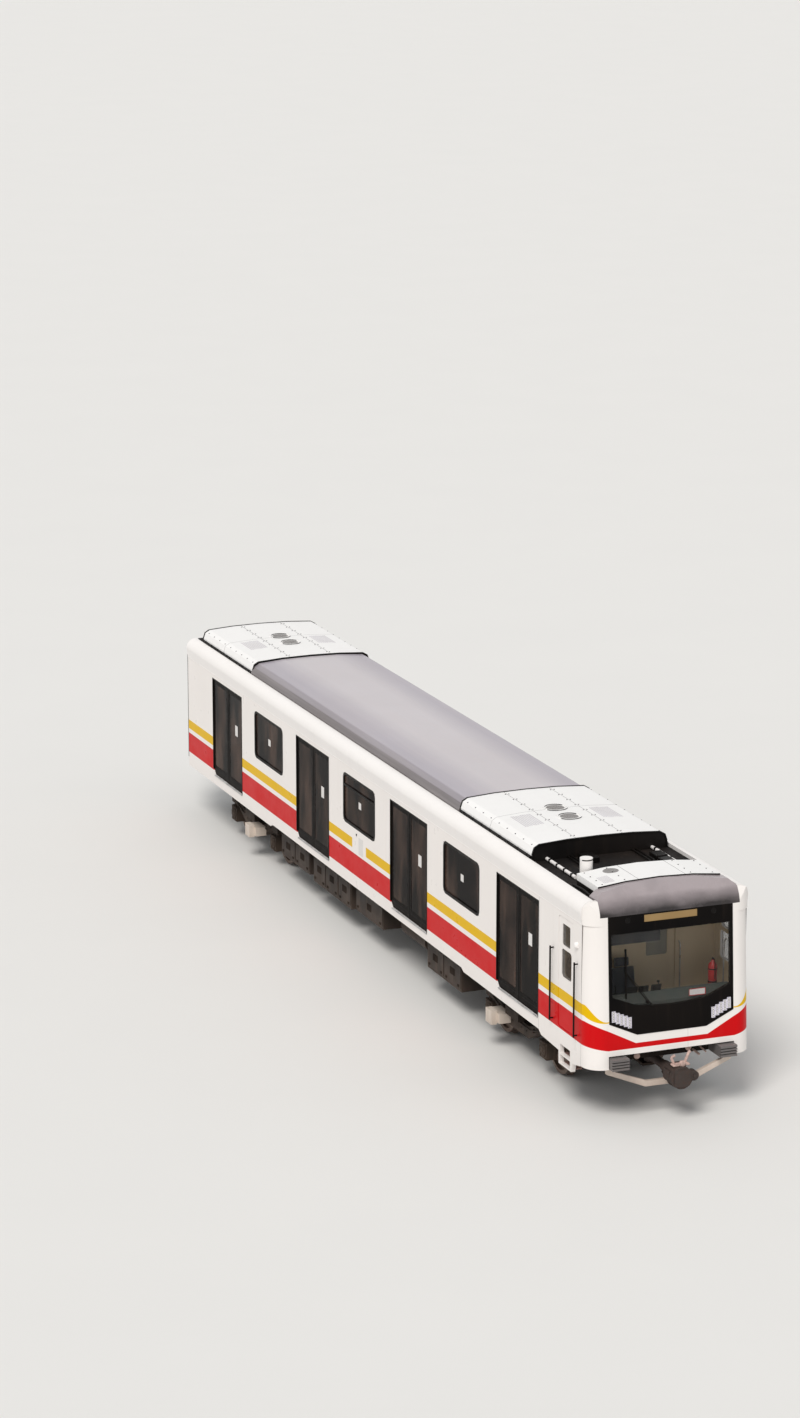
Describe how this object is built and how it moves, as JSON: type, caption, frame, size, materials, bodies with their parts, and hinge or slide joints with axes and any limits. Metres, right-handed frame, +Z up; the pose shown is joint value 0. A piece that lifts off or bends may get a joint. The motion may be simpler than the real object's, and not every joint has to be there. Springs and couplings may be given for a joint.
{
  "type": "metro car",
  "caption": "Rail metro cab car with plug doors, hinged cab doors, turning bogies and wheelsets, roof air units, a centre coupler and an open gangway.",
  "frame": {"origin": "middle of the car's length and width, at the lowest point of the wheel flanges", "axes": "+X forwards to the cab, +Y to the left side, +Z up"},
  "size_m": [20, 2.88, 3.79],
  "materials": {
    "body_white": "gloss",
    "cover_white": "satin",
    "roof_grey": "satin",
    "roof_dark": "matte",
    "underframe_paint": "matte",
    "floor_covering": "matte",
    "step_grey": "matte",
    "bellows_rubber": "matte",
    "gangway_metal": "satin",
    "mask_black": "gloss",
    "windscreen_glass": "clear",
    "side_glass": "tinted",
    "lamp_lens": "gloss",
    "display_panel": "satin",
    "hood_grey": "gloss",
    "apron_beige": "dirty",
    "climber_grey": "satin",
    "trim_black": "satin",
    "door_black": "gloss",
    "interior_cream": "satin",
    "desk_green": "satin",
    "seat_fabric": "woven",
    "bench_plastic": "satin",
    "pole_steel": "brushed",
    "case_grey": "matte",
    "coupler_steel": "dusty",
    "wheel_steel": "worn",
    "bogie_paint": "matte",
    "spring_rubber": "matte",
    "drive_grey": "matte",
    "collector_white": "dirty"
  },
  "bodies": {
    "carbody": {"ac_covers": "cover_white", "air_tanks": "case_grey", "anti_climbers": "climber_grey", "cab_ac_cover": "cover_white", "cab_handrails": "trim_black", "cab_shell": "body_white", "cab_side_walls": "body_white", "cab_steps": "step_grey", "cantrails": "body_white", "coupler_bracket": "underframe_paint", "destination_display": "display_panel", "door_glass": "side_glass", "door_leaves": "door_black", "driver_desk": "desk_green", "driver_seat": "seat_fabric", "end_wall": "body_white", "equipment_cases": "case_grey", "floor": "floor_covering", "front_apron": "apron_beige", "front_hood": "hood_grey", "front_lamps": "lamp_lens", "front_mask": "mask_black", "gangway_bellows": "bellows_rubber", "gangway_bridge": "gangway_metal", "gangway_frame": "gangway_metal", "grab_poles": "pole_steel", "partition": "interior_cream", "roof_deck": "roof_dark", "roof_fittings": "cover_white", "roof_panels": "roof_grey", "saloon_seats": "bench_plastic", "side_walls": "body_white", "underframe": "underframe_paint", "window_frames": "trim_black", "window_glass": "side_glass", "windscreen": "windscreen_glass", "wiper": "trim_black"},
    "bogie_rear": {"air_springs_rear": "spring_rubber", "axle_boxes_rear": "bogie_paint", "bogie_drives_rear": "drive_grey", "bogie_frame_rear": "bogie_paint", "collectors_rear": "collector_white"},
    "bogie_front": {"air_springs_front": "spring_rubber", "axle_boxes_front": "bogie_paint", "bogie_drives_front": "drive_grey", "bogie_frame_front": "bogie_paint", "collectors_front": "collector_white"},
    "wheelset_1": {"wheelset_1": "wheel_steel"},
    "wheelset_2": {"wheelset_2": "wheel_steel"},
    "wheelset_3": {"wheelset_3": "wheel_steel"},
    "wheelset_4": {"wheelset_4": "wheel_steel"},
    "cab_door_left": {"cab_door_left": "body_white", "cab_door_glass_left": "side_glass"},
    "cab_door_right": {"cab_door_right": "body_white", "cab_door_glass_right": "side_glass"},
    "partition_door": {"partition_door": "interior_cream", "partition_door_glass": "side_glass"},
    "coupler": {"coupler": "coupler_steel"}
  },
  "joints": [
    {"name": "bogie_yaw_rear", "type": "hinge", "parent": "carbody", "child": "bogie_rear", "pos_m": [-6.472, 0, 0.7], "axis": [0, 0, 1], "range_deg": [-4, 4]},
    {"name": "bogie_yaw_front", "type": "hinge", "parent": "carbody", "child": "bogie_front", "pos_m": [6.128, 0, 0.7], "axis": [0, 0, 1], "range_deg": [-4, 4]},
    {"name": "wheelset_1_roll", "type": "hinge", "parent": "bogie_rear", "child": "wheelset_1", "pos_m": [-7.572, 0, 0.458], "axis": [0, 1, 0], "continuous": true},
    {"name": "wheelset_2_roll", "type": "hinge", "parent": "bogie_rear", "child": "wheelset_2", "pos_m": [-5.372, 0, 0.458], "axis": [0, 1, 0], "continuous": true},
    {"name": "wheelset_3_roll", "type": "hinge", "parent": "bogie_front", "child": "wheelset_3", "pos_m": [5.028, 0, 0.458], "axis": [0, 1, 0], "continuous": true},
    {"name": "wheelset_4_roll", "type": "hinge", "parent": "bogie_front", "child": "wheelset_4", "pos_m": [7.228, 0, 0.458], "axis": [0, 1, 0], "continuous": true},
    {"name": "cab_door_left_swing", "type": "hinge", "parent": "carbody", "child": "cab_door_left", "pos_m": [8.413, 1.3, 2.1], "axis": [0, 0, -1], "range_deg": [0, 90]},
    {"name": "cab_door_right_swing", "type": "hinge", "parent": "carbody", "child": "cab_door_right", "pos_m": [8.413, -1.3, 2.1], "axis": [0, 0, 1], "range_deg": [0, 90]},
    {"name": "partition_door_swing", "type": "hinge", "parent": "carbody", "child": "partition_door", "pos_m": [8.25, 0.633, 2.1], "axis": [0, 0, -1], "range_deg": [0, 90]},
    {"name": "coupler_swing", "type": "hinge", "parent": "carbody", "child": "coupler", "pos_m": [8.8, 0, 0.74], "axis": [0, 0, 1], "range_deg": [-15, 15]}
  ]
}
